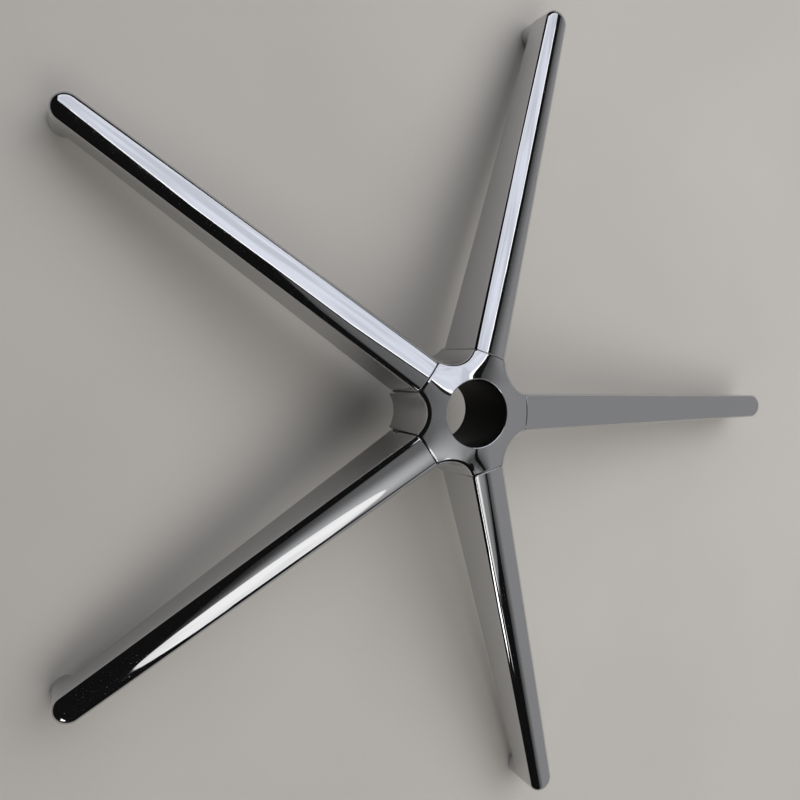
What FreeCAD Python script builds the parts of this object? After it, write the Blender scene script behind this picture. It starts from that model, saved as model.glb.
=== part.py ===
"""Five-star base for a swivel chair: a cast hub, five separate hollow arms and their screws.

Millimetres, +Z up. The origin is the centre of the hub bore's lower rim, and arm 1 runs along +X.
The arms follow counter-clockwise, seen from above. The base rests on its five caster bosses.
"""

import FreeCAD, Part
import math
import os

import Sketcher
from FreeCAD import Placement, Rotation, Vector

ARM_COUNT = 5
STEP_ANGLE = 360 / ARM_COUNT
RIB_COUNT = 6
# Reach of the cutting tools past the solids that they cut
OVERSHOOT = 20

SIZES = {
    # Hub bore: a slow taper that grips the gas column, over a short straight land
    "bore_top_radius": 25.0,
    "bore_bottom_radius": 24.3,
    "bore_length": 63.3,
    "bore_land": 12.0,
    "bore_wall": 4.5,
    "bore_rim_round": 0.8,
    # Hub body with a flared hollow between each pair of arms
    "seam_radius": 45.2,
    "skirt_bottom": 8.7,
    "hollow_top_centre": 59.5,
    "hollow_top_radius": 21.0,
    "hollow_bottom_centre": 68.1,
    "hollow_bottom_radius": 24.7,
    "hub_edge_round": 2.0,
    "hub_roof": 5.0,
    "hub_wall": 3.5,
    "hub_rib_thickness": 3.0,
    "hub_rib_bottom": 20.7,
    # Fingers of the hub that the arms slip over
    "finger_top": 38.7,
    "finger_height": 18.0,
    "finger_web": 6.0,
    "finger_end_wall": 3.0,
    "finger_side_clearance": 1.3,
    # Arm outline in plan and in elevation
    "arm_slope": 10.82,
    "arm_half_width": 14.0,
    "tip_distance": 341.4,
    "tip_radius": 10.25,
    "arm_draft": 0.3,
    "crown_radius": 50.0,
    "edge_round": 3.0,
    "lower_edge_at_seam": 8.5,
    "lower_edge_at_tip": -22.3,
    # Hollow underside of the arm, with a spine and cross ribs under its roof
    "arm_wall": 3.5,
    "arm_roof": 4.5,
    "rib_thickness": 2.5,
    "rib_depth": 12.0,
    "rib_first": 60.0,
    "rib_pitch": 42.0,
    "rib_half_length": 10.3,
    "spine_start": 48.0,
    # Caster bosses and their stem sockets
    "floor_drop": 37.3,
    "boss_radius": 10.7,
    "socket_radius": 5.5,
    "socket_roof": 10.13,
    "socket_chamfer": 0.6,
    # Screws that hold each arm to its finger from below
    "screw_pitch": 14.5,
    "screw_radius": 3.0,
    "screw_length": 14.0,
    "head_radius": 6.0,
    "head_height": 3.6,
    "head_chamfer": 1.2,
    "head_clearance": 2.0,
    "head_side_clearance": 0.7,
    "key_across": 4.0,
    "key_depth": 2.2,
    "screw_hole_clearance": 0.5,
    "thread_clearance": 0.02,
    "thread_end_clearance": 2.0,
    "thread_boss_radius": 6.5,
    # Fit of the arms against the hub
    "seam_gap": 0.15,
    "seam_play": 0.45,
    "side_play": 0.45,
}

# How each arm sits on its finger within the play: steps outward and to the left
ARM_SEATS = {1: (0, 0), 2: (0, 1), 3: (1, 0), 4: (1, 0), 5: (0, -1)}

# Expressions that several pieces share
ARM_START = "Sizes.seam_radius + Sizes.seam_gap"
BLADE_ROOT = "Sizes.seam_radius - Sizes.arm_wall"
BORE_OUTSIDE = "Sizes.bore_top_radius + Sizes.bore_wall"
FINGER_HALF_WIDTH = "Sizes.arm_half_width - Sizes.arm_wall - Sizes.finger_side_clearance"
FINGER_BOTTOM = "Sizes.finger_top - Sizes.finger_height"
HEAD_SEAT = "Sizes.finger_top - Sizes.finger_web"
ROOF_REACH = "(Sizes.tip_distance - Sizes.boss_radius - Sizes.arm_wall - Sizes.seam_radius)"
HEAD_ROOM = "(Sizes.finger_end_wall + Sizes.head_clearance + Sizes.head_radius)"
SCREW_FIRST = f"(Sizes.seam_radius + {HEAD_ROOM})"
SCREW_PLACES = (SCREW_FIRST, f"({SCREW_FIRST} + Sizes.screw_pitch)")
FINGER_REACH = f"({SCREW_PLACES[1]} + {HEAD_ROOM})"


def cone_height(radius_text):
    """Expression of the height, at a radius, of the hub's top cone and of the arms' crest lines."""
    return f"Sizes.bore_length - tan(Sizes.arm_slope) * ({radius_text} - Sizes.bore_top_radius)"


def hollow_size(kind, height):
    """Expression of the centre or radius of the hub's leaning conical hollows, at a height."""
    low, high = f"Sizes.hollow_bottom_{kind}", f"Sizes.hollow_top_{kind}"
    rise = f"({height} - Sizes.skirt_bottom) / (Sizes.bore_length - Sizes.skirt_bottom)"
    return f"({low} + ({high} - {low}) * {rise})"


def make_sheet(doc):
    """Put the driving sizes in a spreadsheet, each under its own alias."""
    sheet = doc.addObject("Spreadsheet::Sheet", "Sizes")
    for row, (alias, value) in enumerate(SIZES.items(), start=1):
        sheet.set(f"A{row}", alias)
        sheet.set(f"B{row}", str(value))
        sheet.setAlias(f"B{row}", alias)
    doc.recompute()
    return sheet


class Outline:
    """A sketch on one of a body's origin planes, whose sizes follow expressions over the sheet.

    base is the plane's offset as up to three expressions in the plane's own axes, and turn is an
    axis with the expression of an angle about it.
    """

    ROLES = {"XY": "XY_Plane", "XZ": "XZ_Plane", "YZ": "YZ_Plane"}

    def __init__(self, body, name, plane, base=(), turn=None):
        self.sketch = body.newObject("Sketcher::SketchObject", name)
        role = self.ROLES[plane]
        support = next(item for item in body.Origin.OriginFeatures if item.Role == role)
        self.sketch.AttachmentSupport = [(support, "")]
        self.sketch.MapMode = "FlatFace"
        if turn:
            axis, angle = turn
            self.sketch.AttachmentOffset = Placement(Vector(), Rotation(Vector(*axis), 1))
            self.sketch.setExpression("AttachmentOffset.Rotation.Angle", angle)
        for letter, text in zip("xyz", base):
            if text:
                self.sketch.setExpression(f"AttachmentOffset.Base.{letter}", text)

    def value(self, text):
        """The present value of an expression, as the first guess of a constraint."""
        answer = self.sketch.evalExpression(text)
        return float(getattr(answer, "Value", answer))

    def rule(self, *where):
        self.sketch.addConstraint(Sketcher.Constraint(*where))

    def measure(self, kind, *where, to):
        """Add a dimension that follows an expression."""
        constraint = Sketcher.Constraint(kind, *where, self.value(to))
        index = self.sketch.addConstraint(constraint)
        self.sketch.setExpression(f"Constraints[{index}]", to)

    def pin(self, geometry, end, across, up):
        """Dimension a point from the sketch origin. None puts it on the axis in that direction."""
        for kind, text, axis in (("DistanceX", across, -2), ("DistanceY", up, -1)):
            if text is None:
                self.rule("PointOnObject", geometry, end, axis)
            else:
                self.measure(kind, -1, 1, geometry, end, to=text)

    def polygon(self, *corners):
        """A closed polygon. Each corner is a pair of expressions, None where it lies on an axis."""
        points = [
            Vector(*(0 if text is None else self.value(text) for text in corner), 0)
            for corner in corners
        ]
        ends = points[1:] + points[:1]
        lines = [
            self.sketch.addGeometry(Part.LineSegment(start, end))
            for start, end in zip(points, ends)
        ]
        for first, second in zip(lines, lines[1:] + lines[:1]):
            self.rule("Coincident", first, 2, second, 1)
        for line, corner in zip(lines, corners):
            self.pin(line, 1, *corner)
        return self

    def rectangle(self, left, right, half_width):
        """A rectangle that lies evenly about the sketch's horizontal axis."""
        low = f"-({half_width})"
        return self.polygon((left, low), (right, low), (right, half_width), (left, half_width))

    def circle(self, across, radius):
        """A circle centred on the sketch's horizontal axis."""
        centre = Vector(self.value(across), 0, 0)
        circle = Part.Circle(centre, Vector(0, 0, 1), self.value(radius))
        index = self.sketch.addGeometry(circle)
        self.pin(index, 3, across, None)
        self.measure("Radius", index, to=radius)
        return self


def feature(body, kind, name, outline, **settings):
    """Add a PartDesign feature on an outline. Text settings are expressions, apart from choices."""
    item = body.newObject(f"PartDesign::{kind}", name)
    item.Profile = outline.sketch
    for key, value in settings.items():
        if isinstance(value, str) and key not in ("Type", "SideType"):
            item.setExpression(key, value)
        else:
            setattr(item, key, value)
    body.Tip = item
    return item


def turned(body, kind, name, outline):
    """Turn an outline in the XZ plane once round the body's vertical axis."""
    return feature(body, kind, name, outline, ReferenceAxis=(outline.sketch, ["V_Axis"]), Angle=360)


def round_the_hub(body, name, *originals):
    """Repeat features once for each arm."""
    item = body.newObject("PartDesign::PolarPattern", name)
    item.Originals = list(originals)
    axis = next(part for part in body.Origin.OriginFeatures if part.Role == "Z_Axis")
    item.Axis = (axis, [""])
    item.Angle = 360
    item.Occurrences = ARM_COUNT
    body.Tip = item
    return item


def along_axis(body, name, outline, count, length, *originals):
    """Repeat features along the horizontal axis of an outline, over a length between first and last."""
    item = body.newObject("PartDesign::LinearPattern", name)
    item.Originals = list(originals)
    item.Direction = (outline.sketch, ["H_Axis"])
    item.Occurrences = count
    item.setExpression("Length", length)
    body.Tip = item
    return item


def eased(body, kind, name, wanted, size_text):
    """Fillet or chamfer the edges of the body's present shape for which wanted(edge) is true."""
    body.Document.recompute()
    base = body.Tip
    numbered = enumerate(base.Shape.Edges, start=1)
    names = [f"Edge{number}" for number, edge in numbered if wanted(edge)]
    if not names:
        raise RuntimeError(f"{name}: no edges found")
    item = body.newObject(f"PartDesign::{kind}", name)
    item.Base = (base, names)
    item.setExpression("Radius" if kind == "Fillet" else "Size", size_text)
    body.Tip = item
    return item


def samples(edge):
    """Five points along an edge."""
    first, last = edge.ParameterRange
    return [edge.valueAt(first + (last - first) * step / 4) for step in range(5)]


def lies_in_plane(edge, direction, distance):
    """Whether an edge lies in the plane at a distance along a direction."""
    return all(abs(point.dot(direction) - distance) < 1e-4 for point in samples(edge))


def is_circle(edge, radius):
    """Whether an edge is part of a circle of a radius."""
    return isinstance(edge.Curve, Part.Circle) and abs(edge.Curve.Radius - radius) < 1e-6


def in_seam_face(edge, sizes):
    """Whether an edge lies in one of the hub's seam faces."""
    angles = [math.radians(STEP_ANGLE * step) for step in range(ARM_COUNT)]
    return any(
        lies_in_plane(edge, Vector(math.cos(angle), math.sin(angle), 0), sizes["seam_radius"])
        for angle in angles
    )


def on_top_cone(edge, sizes):
    """Whether an edge runs along the hub's conical top."""
    fall = math.tan(math.radians(sizes["arm_slope"]))
    crest = sizes["bore_length"] + fall * sizes["bore_top_radius"]
    return all(
        abs(crest - fall * math.hypot(point.x, point.y) - point.z) < 1e-4
        for point in samples(edge)
    )


def make_hub_shell(body):
    """The star-shaped skirt with its open underside, the bore tube and the webs between them."""
    corner_angles = [STEP_ANGLE * (step + 0.5) for step in range(ARM_COUNT)]
    reach = f"Sizes.seam_radius / cos({STEP_ANGLE / 2})"
    pentagon = Outline(body, "SeamPentagon", "XY", base=(None, None, "Sizes.skirt_bottom"))
    pentagon.polygon(*(
        (f"{reach} * cos({angle})", None if angle == 180 else f"{reach} * sin({angle})")
        for angle in corner_angles
    ))
    feature(body, "Pad", "Block", pentagon, Length="Sizes.bore_length - Sizes.skirt_bottom")

    inner = "Sizes.hollow_{0}_centre - Sizes.hollow_{0}_radius - Sizes.hub_wall"
    underside = Outline(body, "UndersideOutline", "XZ")
    underside.polygon(
        (BORE_OUTSIDE, "Sizes.skirt_bottom"),
        (inner.format("bottom"), "Sizes.skirt_bottom"),
        (inner.format("top"), cone_height(f"({inner.format('top')})") + " - Sizes.hub_roof"),
        (BORE_OUTSIDE, cone_height(f"({BORE_OUTSIDE})") + " - Sizes.hub_roof"),
    )
    turned(body, "Groove", "Underside", underside)

    half_turn = ((0, 0, 1), str(STEP_ANGLE / 2))
    web = Outline(body, "WebOutline", "XY", base=(None, None, "Sizes.hub_rib_bottom"), turn=half_turn)
    web.rectangle(
        "Sizes.bore_top_radius + Sizes.bore_wall / 2",
        "Sizes.seam_radius",
        "Sizes.hub_rib_thickness / 2",
    )
    first_web = feature(
        body, "Pad", "Web", web,
        Length=cone_height("Sizes.seam_radius") + " - Sizes.hub_roof / 2 - Sizes.hub_rib_bottom",
    )
    round_the_hub(body, "Webs", first_web)

    below = f"(Sizes.skirt_bottom - {OVERSHOOT})"
    above = f"(Sizes.bore_length + {OVERSHOOT})"
    cone = Outline(body, "HollowOutline", "XZ", turn=((0, 1, 0), str(STEP_ANGLE / 2)))
    cone.polygon(
        (hollow_size("centre", below), below),
        (hollow_size("centre", above), above),
        (f"{hollow_size('centre', above)} - {hollow_size('radius', above)}", above),
        (f"{hollow_size('centre', below)} - {hollow_size('radius', below)}", below),
    )
    hollow = feature(
        body, "Groove", "Hollow", cone, ReferenceAxis=(cone.sketch, ["Edge1"]), Angle=360
    )
    round_the_hub(body, "Hollows", hollow)

    tube = Outline(body, "TubeOutline", "XZ")
    tube.polygon(
        ("Sizes.bore_bottom_radius / 2", None),
        (BORE_OUTSIDE, None),
        (BORE_OUTSIDE, "Sizes.skirt_bottom + Sizes.hub_roof"),
        ("Sizes.bore_bottom_radius / 2", "Sizes.skirt_bottom + Sizes.hub_roof"),
    )
    turned(body, "Revolution", "Tube", tube)


def make_hub_top_and_bore(body):
    """The conical top and the tapered bore."""
    far = "Sizes.seam_radius * 1.4"
    top = Outline(body, "TopOutline", "XZ")
    top.polygon(
        ("Sizes.bore_top_radius", "Sizes.bore_length"),
        (far, cone_height(f"({far})")),
        (far, f"Sizes.bore_length + {OVERSHOOT}"),
        ("Sizes.bore_top_radius", f"Sizes.bore_length + {OVERSHOOT}"),
    )
    turned(body, "Groove", "Top", top)

    bore = Outline(body, "BoreOutline", "XZ")
    bore.polygon(
        (None, None),
        ("Sizes.bore_bottom_radius", None),
        ("Sizes.bore_bottom_radius", "Sizes.bore_land"),
        ("Sizes.bore_top_radius", "Sizes.bore_length"),
        (None, "Sizes.bore_length"),
    )
    turned(body, "Groove", "Bore", bore)


def make_fingers(body):
    """Five channel-shaped fingers, each with two screw holes through its web."""
    low = Outline(body, "FingerOutline", "XY", base=(None, None, FINGER_BOTTOM))
    low.rectangle(
        "Sizes.bore_top_radius + Sizes.bore_wall / 2", FINGER_REACH, FINGER_HALF_WIDTH
    )
    finger = feature(body, "Pad", "Finger", low, Length="Sizes.finger_height")
    round_the_hub(body, "Fingers", finger)

    channel = Outline(body, "ChannelOutline", "XY", base=(None, None, FINGER_BOTTOM))
    channel.rectangle(
        "Sizes.seam_radius + Sizes.finger_end_wall",
        f"{FINGER_REACH} - Sizes.finger_end_wall",
        "Sizes.head_radius + Sizes.head_side_clearance",
    )
    first_channel = feature(
        body, "Pocket", "Channel", channel,
        Length="Sizes.finger_height - Sizes.finger_web", Reversed=True,
    )
    round_the_hub(body, "Channels", first_channel)

    holes = Outline(body, "ScrewHoles", "XY", base=(None, None, "Sizes.finger_top"))
    for place in SCREW_PLACES:
        holes.circle(place, "Sizes.screw_radius + Sizes.screw_hole_clearance")
    first_holes = feature(body, "Pocket", "ScrewHole", holes, Length="Sizes.finger_web")
    round_the_hub(body, "ScrewHoleSets", first_holes)


def make_hub(doc):
    """The cast hub, one piece with its five fingers."""
    body = doc.addObject("PartDesign::Body", "Hub")
    body.Label = "hub"
    make_hub_shell(body)
    make_hub_top_and_bore(body)
    make_fingers(body)
    return body


def finish_hub(body, sizes):
    """Round the top edges over the hollows and the rim of the bore."""
    rim = sizes["bore_top_radius"]
    eased(
        body, "Fillet", "HollowRound",
        lambda edge: on_top_cone(edge, sizes)
        and not in_seam_face(edge, sizes)
        and not is_circle(edge, rim)
        and not isinstance(edge.Curve, Part.Line),
        "Sizes.hub_edge_round",
    )
    eased(body, "Fillet", "RimRound", lambda edge: is_circle(edge, rim), "Sizes.bore_rim_round")


def make_blade(body):
    """The arm's solid form: tapered blade, straight lower edge and the caster boss."""
    plan = Outline(body, "PlanOutline", "XY", base=(None, None, cone_height("Sizes.seam_radius")))
    sketch = plan.sketch
    start = plan.value(BLADE_ROOT)
    half = plan.value("Sizes.arm_half_width")
    tip = plan.value("Sizes.tip_distance")
    radius = plan.value("Sizes.tip_radius")
    right = sketch.addGeometry(Part.LineSegment(Vector(start, -half, 0), Vector(tip, -radius, 0)))
    round_tip = Part.Circle(Vector(tip, 0, 0), Vector(0, 0, 1), radius)
    end = sketch.addGeometry(Part.ArcOfCircle(round_tip, -math.pi / 2, math.pi / 2))
    left = sketch.addGeometry(Part.LineSegment(Vector(tip, radius, 0), Vector(start, half, 0)))
    face = sketch.addGeometry(Part.LineSegment(Vector(start, half, 0), Vector(start, -half, 0)))
    plan.rule("Tangent", right, 2, end, 1)
    plan.rule("Tangent", end, 2, left, 1)
    plan.rule("Coincident", left, 2, face, 1)
    plan.rule("Coincident", face, 2, right, 1)
    plan.pin(end, 3, "Sizes.tip_distance", None)
    plan.measure("Radius", end, to="Sizes.tip_radius")
    plan.pin(right, 1, BLADE_ROOT, "-Sizes.arm_half_width")
    plan.pin(left, 2, BLADE_ROOT, "Sizes.arm_half_width")
    feature(
        body, "Pad", "Blade", plan,
        Length=f"{cone_height('Sizes.seam_radius')} + Sizes.floor_drop",
        Reversed=True, TaperAngle="Sizes.arm_draft",
    )

    fall = "(Sizes.lower_edge_at_tip - Sizes.lower_edge_at_seam) / (Sizes.tip_distance - Sizes.seam_radius)"
    above = "Sizes.bore_length"
    below = "-Sizes.floor_drop * 2"
    beyond = "Sizes.tip_distance + Sizes.tip_radius * 2"
    side = Outline(body, "SideOutline", "XZ")
    side.polygon(
        (ARM_START, above),
        (ARM_START, "Sizes.lower_edge_at_seam"),
        (beyond, f"Sizes.lower_edge_at_tip + {fall} * Sizes.tip_radius * 2"),
        (beyond, below),
        (None, below),
        (None, above),
    )
    feature(
        body, "Pocket", "Side", side, Length="Sizes.arm_half_width * 4", SideType="Symmetric"
    )

    boss = Outline(body, "BossOutline", "XY", base=(None, None, "-Sizes.floor_drop"))
    boss.circle("Sizes.tip_distance", "Sizes.boss_radius")
    feature(
        body, "Pad", "CasterBoss", boss,
        Length="Sizes.floor_drop + Sizes.lower_edge_at_tip + Sizes.rib_depth / 2",
    )


def roof_outline(body, name):
    """An outline on the sloping plane of the arm's roof, seen along the arm from the seam."""
    height = f"{cone_height('Sizes.seam_radius')} - Sizes.arm_roof"
    return Outline(
        body, name, "XY", base=("Sizes.seam_radius", None, height), turn=((0, 1, 0), "Sizes.arm_slope")
    )


def make_arm_underside(body):
    """The arm's cavity, open below and towards the hub, with its ribs and screw bosses."""
    cavity = roof_outline(body, "CavityOutline")
    near = "Sizes.arm_half_width - Sizes.arm_wall"
    far = "Sizes.tip_radius - Sizes.arm_wall"
    back = f"-{OVERSHOOT / 2}"
    cavity.polygon(
        (back, f"-({near})"),
        (ROOF_REACH, f"-({far})"),
        (ROOF_REACH, far),
        (back, near),
    )
    feature(body, "Pocket", "Cavity", cavity, Length="Sizes.floor_drop * 2")

    spine = roof_outline(body, "SpineOutline")
    spine.rectangle(
        "Sizes.spine_start", f"{ROOF_REACH} + Sizes.arm_wall", "Sizes.rib_thickness / 2"
    )
    feature(body, "Pad", "Spine", spine, Length="Sizes.rib_depth", Reversed=True)

    ribs = roof_outline(body, "RibOutline")
    ribs.rectangle(
        "Sizes.rib_first", "Sizes.rib_first + Sizes.rib_thickness", "Sizes.rib_half_length"
    )
    rib = feature(body, "Pad", "Rib", ribs, Length="Sizes.rib_depth", Reversed=True)
    along_axis(body, "Ribs", ribs, RIB_COUNT, f"Sizes.rib_pitch * {RIB_COUNT - 1}", rib)

    bosses = Outline(body, "ThreadBossOutline", "XY", base=(None, None, "Sizes.finger_top"))
    for place in SCREW_PLACES:
        bosses.circle(place, "Sizes.thread_boss_radius")
    feature(body, "Pad", "ThreadBosses", bosses, Length="Sizes.bore_length - Sizes.finger_top")


def make_crown(body):
    """Cut the blade to its sloping, gently crowned top."""
    above = "Sizes.bore_length + Sizes.floor_drop"
    crown = Outline(
        body, "CrownOutline", "YZ",
        base=(None, cone_height("Sizes.seam_radius"), "Sizes.seam_radius"),
        turn=((1, 0, 0), "Sizes.arm_slope"),
    )
    sketch = crown.sketch
    radius = crown.value("Sizes.crown_radius")
    reach = crown.value("Sizes.arm_half_width * 1.4")
    swing = math.asin(reach / radius)
    drop = radius * math.cos(swing) - radius
    circle = Part.Circle(Vector(0, -radius, 0), Vector(0, 0, 1), radius)
    arc = sketch.addGeometry(Part.ArcOfCircle(circle, math.pi / 2 - swing, math.pi / 2 + swing))
    rise = crown.value(above)
    corners = [
        Vector(-reach, drop, 0), Vector(-reach, rise, 0),
        Vector(reach, rise, 0), Vector(reach, drop, 0),
    ]
    lines = [
        sketch.addGeometry(Part.LineSegment(first, second))
        for first, second in zip(corners, corners[1:])
    ]
    chain = [arc] + lines
    for first, second in zip(chain, chain[1:] + chain[:1]):
        crown.rule("Coincident", first, 2, second, 1)
    crown.pin(arc, 3, None, "-Sizes.crown_radius")
    crown.measure("Radius", arc, to="Sizes.crown_radius")
    crown.rule("Vertical", lines[0])
    crown.rule("Vertical", lines[2])
    crown.pin(lines[1], 1, "-Sizes.arm_half_width * 1.4", above)
    crown.pin(lines[1], 2, "Sizes.arm_half_width * 1.4", above)
    feature(
        body, "Pocket", "Crown", crown, Length="Sizes.tip_distance * 3", SideType="Symmetric"
    )


def make_arm(doc, number):
    """One hollow arm: blade, cavity, crown, threaded holes and the caster socket."""
    body = doc.addObject("PartDesign::Body", f"Arm{number}")
    body.Label = f"arm_{number}"
    make_blade(body)
    make_arm_underside(body)
    make_crown(body)

    threads = Outline(body, "ThreadOutline", "XY", base=(None, None, "Sizes.finger_top"))
    for place in SCREW_PLACES:
        threads.circle(place, "Sizes.screw_radius + Sizes.thread_clearance")
    feature(
        body, "Pocket", "Threads", threads, Reversed=True,
        Length="Sizes.screw_length - Sizes.finger_web + Sizes.thread_end_clearance",
    )

    socket = Outline(body, "SocketOutline", "XY", base=(None, None, "-Sizes.floor_drop"))
    socket.circle("Sizes.tip_distance", "Sizes.socket_radius")
    depth = f"Sizes.floor_drop + {cone_height('Sizes.tip_distance')} - Sizes.socket_roof"
    feature(body, "Pocket", "Socket", socket, Length=depth, Reversed=True)
    return body


def finish_arm(body, sizes):
    """Round the edges of the arm's top, ease its seam face and the mouth of its socket."""
    body.Document.recompute()
    crown = next(
        face for face in body.Tip.Shape.Faces
        if isinstance(face.Surface, Part.Cylinder)
        and abs(face.Surface.Radius - sizes["crown_radius"]) < 1e-6
    )
    start = sizes["seam_radius"] + sizes["seam_gap"]
    along = Vector(1, 0, 0)
    rims = [edge for edge in crown.Edges if not lies_in_plane(edge, along, start)]
    eased(
        body, "Fillet", "TopRound",
        lambda edge: any(edge.isSame(rim) for rim in rims), "Sizes.edge_round",
    )
    floor = Vector(0, 0, -1)
    mouth = sizes["socket_radius"]
    eased(
        body, "Chamfer", "SocketMouth",
        lambda edge: is_circle(edge, mouth) and lies_in_plane(edge, floor, sizes["floor_drop"]),
        "Sizes.socket_chamfer",
    )


def seat_arm_piece(body, number):
    """Turn a piece of an arm to its place round the hub and shift it within the play."""
    outward, left = ARM_SEATS[number]
    angle = STEP_ANGLE * (number - 1)
    body.Placement = Placement(Vector(), Rotation(Vector(0, 0, 1), angle))
    if outward or left:
        body.setExpression(
            "Placement.Base.x",
            f"{outward} * Sizes.seam_play * cos({angle}) - {left} * Sizes.side_play * sin({angle})",
        )
        body.setExpression(
            "Placement.Base.y",
            f"{outward} * Sizes.seam_play * sin({angle}) + {left} * Sizes.side_play * cos({angle})",
        )


def make_screws(doc, number):
    """The two socket screws of one arm, heads down in the finger's channel."""
    body = doc.addObject("PartDesign::Body", f"Screws{number}")
    body.Label = f"arm_screws_{number}"
    body.AllowCompound = True
    shanks = Outline(body, "ShankOutline", "XY", base=(None, None, HEAD_SEAT))
    heads = Outline(body, "HeadOutline", "XY", base=(None, None, HEAD_SEAT))
    keys = Outline(body, "KeyOutline", "XY", base=(None, None, f"{HEAD_SEAT} - Sizes.head_height"))
    reach = "Sizes.key_across / (2 * cos(30))"
    for place in SCREW_PLACES:
        shanks.circle(place, "Sizes.screw_radius")
        heads.circle(place, "Sizes.head_radius")
        keys.polygon(*(
            (
                f"{place} + {reach} * cos({angle})",
                None if angle % 180 == 0 else f"{reach} * sin({angle})",
            )
            for angle in range(0, 360, 60)
        ))
    feature(body, "Pad", "Shanks", shanks, Length="Sizes.screw_length")
    feature(body, "Pad", "Heads", heads, Length="Sizes.head_height", Reversed=True)
    feature(body, "Pocket", "KeySockets", keys, Length="Sizes.key_depth", Reversed=True)
    return body


def finish_screws(body, sizes):
    """Chamfer the rims of the heads."""
    rim_height = sizes["finger_top"] - sizes["finger_web"] - sizes["head_height"]
    eased(
        body, "Chamfer", "HeadEdge",
        lambda edge: is_circle(edge, sizes["head_radius"])
        and lies_in_plane(edge, Vector(0, 0, 1), rim_height),
        "Sizes.head_chamfer",
    )


def require_sound(doc, bodies):
    """Stop unless every object was recomputed and every body holds a valid shape."""
    for item in doc.Objects:
        if "Invalid" in item.State or "Error" in item.State:
            raise RuntimeError(f"{item.Name} failed: {item.State}")
    for body in bodies:
        if body.Shape.isNull() or not body.Shape.isValid():
            raise RuntimeError(f"{body.Label} has no valid shape")


def main():
    """Build every piece, check it and write it to its own file."""
    os.makedirs("parts", exist_ok=True)
    doc = FreeCAD.newDocument("StarBase")
    make_sheet(doc)
    hub = make_hub(doc)
    finish_hub(hub, SIZES)
    bodies = [hub]
    for number in range(1, ARM_COUNT + 1):
        arm = make_arm(doc, number)
        finish_arm(arm, SIZES)
        seat_arm_piece(arm, number)
        screws = make_screws(doc, number)
        finish_screws(screws, SIZES)
        seat_arm_piece(screws, number)
        bodies += [arm, screws]
    doc.recompute()
    require_sound(doc, bodies)
    for body in bodies:
        body.Shape.exportStep(f"parts/{body.Label}.step")
        print(body.Label, len(body.Shape.Solids), round(body.Shape.Volume))


main()
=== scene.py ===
"""Looks of a polished five-star swivel chair base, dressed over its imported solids.

Everything is in metres in the frame of the solids: the origin is the centre of the hub bore's
lower rim, +Z is up and arm 1 runs along +X. The base rests on its five caster bosses.
"""

from __future__ import annotations

import logging
import math
from dataclasses import dataclass
from enum import Enum
from typing import Callable, Union

import bpy
from mathutils import Euler, Matrix, Vector


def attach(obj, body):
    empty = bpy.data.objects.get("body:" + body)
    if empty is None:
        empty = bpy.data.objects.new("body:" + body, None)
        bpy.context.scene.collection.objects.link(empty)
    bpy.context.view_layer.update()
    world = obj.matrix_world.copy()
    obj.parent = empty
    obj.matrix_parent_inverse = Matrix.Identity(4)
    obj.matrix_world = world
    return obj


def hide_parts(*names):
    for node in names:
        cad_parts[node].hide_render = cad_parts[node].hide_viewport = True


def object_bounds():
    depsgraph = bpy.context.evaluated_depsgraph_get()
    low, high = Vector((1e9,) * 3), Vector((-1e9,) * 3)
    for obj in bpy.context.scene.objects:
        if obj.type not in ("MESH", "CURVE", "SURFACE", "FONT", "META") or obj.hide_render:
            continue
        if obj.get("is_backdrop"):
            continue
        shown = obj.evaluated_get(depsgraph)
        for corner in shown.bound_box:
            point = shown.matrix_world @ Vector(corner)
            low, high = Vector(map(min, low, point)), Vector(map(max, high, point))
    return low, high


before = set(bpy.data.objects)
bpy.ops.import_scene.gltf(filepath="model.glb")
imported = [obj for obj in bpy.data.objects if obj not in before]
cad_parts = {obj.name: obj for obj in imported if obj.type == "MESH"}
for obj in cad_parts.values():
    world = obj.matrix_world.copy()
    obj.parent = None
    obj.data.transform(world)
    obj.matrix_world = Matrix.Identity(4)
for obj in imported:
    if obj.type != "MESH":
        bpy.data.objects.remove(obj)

LOG = logging.getLogger("star_base")
MM = 0.001
ARM_COUNT = 5
STEP_ANGLE = math.tau / ARM_COUNT
HALF_ANGLE = STEP_ANGLE / 2
HALF_SPIN = Matrix.Rotation(HALF_ANGLE, 3, "Z")
SEAM = 45.2 * MM
SLOPE = math.radians(10.82)
CROWN_RADIUS = 50.0 * MM

Colour = tuple[float, float, float, float]
Span = tuple[float, float]
Outline = tuple[tuple[float, float], ...]
Corner = tuple[Vector, Vector]
Rows = list[list[Corner]]


class Slot(Enum):
    """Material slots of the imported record."""

    HUB = "hub_casting"
    ARM = "arm_casting"


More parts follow.
